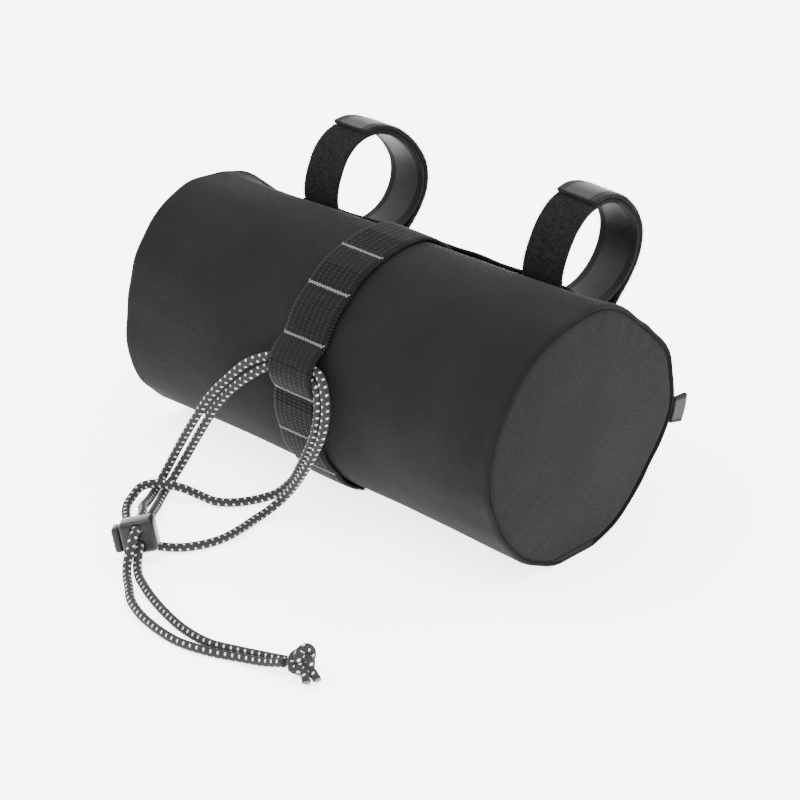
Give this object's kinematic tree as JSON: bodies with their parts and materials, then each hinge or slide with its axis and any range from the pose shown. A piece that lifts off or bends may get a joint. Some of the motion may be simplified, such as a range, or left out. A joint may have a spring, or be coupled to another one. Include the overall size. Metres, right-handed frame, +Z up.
{
  "type": "bicycle handlebar bag",
  "caption": "Round cloth bag that hangs under a bicycle handlebar by closed hook-and-loop straps, with webbing round its front and a bungee cord held by a cord lock.",
  "frame": {"origin": "on the surface the bag rests on, under the middle of its axis", "axes": "+X along the bag to its right end, -Y to its front, +Z up"},
  "size_m": [0.23, 0.2596, 0.1414],
  "materials": {
    "body_cloth": "coated woven cloth, matt",
    "panel_cloth": "coated woven cloth, matt",
    "webbing": "ribbed nylon webbing",
    "strap_pile": "brushed loop pile",
    "tab_tape": "folded binding tape",
    "flecked_cord": "braided sheath with pale flecks",
    "lock_plastic": "satin moulded plastic"
  },
  "bodies": {
    "bag": {"body_tube": "body_cloth", "end_panel_right": "panel_cloth", "end_panel_left": "panel_cloth", "front_webbing": "webbing", "rear_webbing": "webbing", "strap_left": "strap_pile", "strap_right": "strap_pile", "end_tab": "tab_tape", "cord_lock_body": "lock_plastic", "cord_loop": "flecked_cord", "cord_run_a": "flecked_cord", "cord_run_b": "flecked_cord", "cord_knot": "flecked_cord"},
    "button": {"cord_lock_button": "lock_plastic"}
  },
  "joints": [
    {"name": "button_press", "type": "slide", "parent": "bag", "child": "button", "axis": [0.7145, 0.669, 0.2048], "range_m": [0, 0.003], "stiffness_N_per_m": 300}
  ]
}
